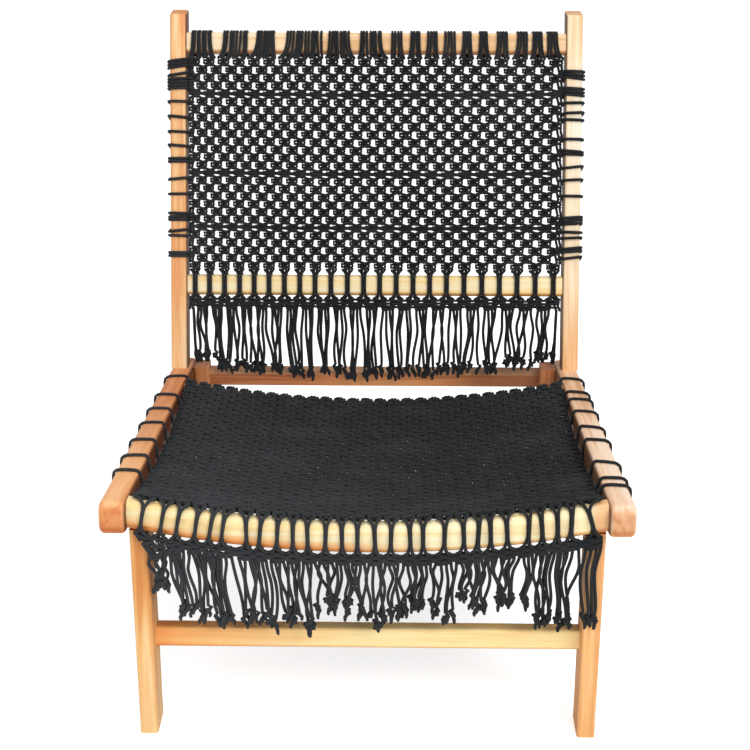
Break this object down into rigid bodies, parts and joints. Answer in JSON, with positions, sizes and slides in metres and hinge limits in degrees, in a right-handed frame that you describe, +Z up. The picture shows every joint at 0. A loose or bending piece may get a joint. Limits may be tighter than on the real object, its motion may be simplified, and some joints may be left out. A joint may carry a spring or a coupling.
{
  "type": "lounge chair",
  "caption": "Low fixed lounge chair: sloping wooden side frames with a knotted black cord seat and back, laced to the frame and ending in fringes.",
  "frame": {"origin": "on the floor, midway across the chair and midway between the front of the feet and the back of the post tops", "axes": "+Z up, +X to the right as seen from in front, +Y to the rear; the chair faces -Y"},
  "size_m": [0.6294, 0.7987, 0.734],
  "materials": {
    "teak_frame": "oiled, satin",
    "pale_bars": "oiled, satin",
    "dowel_wood": "oiled",
    "black_cord": "soft braided cotton cord"
  },
  "bodies": {
    "root": {"seat_rail_left": "teak_frame", "seat_rail_right": "teak_frame", "back_post_left": "teak_frame", "back_post_right": "teak_frame", "front_leg_left": "teak_frame", "front_leg_right": "teak_frame", "rear_leg_left": "teak_frame", "rear_leg_right": "teak_frame", "seat_front_bar": "pale_bars", "seat_rear_bar": "pale_bars", "back_top_bar": "teak_frame", "back_lower_bar": "pale_bars", "front_stretcher": "teak_frame", "rear_stretcher": "teak_frame", "leg_dowels": "dowel_wood", "post_pins": "dowel_wood", "seat_net": "black_cord", "back_net": "black_cord", "seat_front_wraps": "black_cord", "seat_rear_wraps": "black_cord", "back_top_wraps": "black_cord", "back_lower_wraps": "black_cord", "post_lashings_left": "black_cord", "post_lashings_right": "black_cord", "rail_lashings_left": "black_cord", "rail_lashings_right": "black_cord", "back_filler_cords": "black_cord", "seat_gather_band": "black_cord", "back_gather_band": "black_cord", "seat_fringe": "black_cord", "back_fringe": "black_cord"}
  },
  "joints": []
}
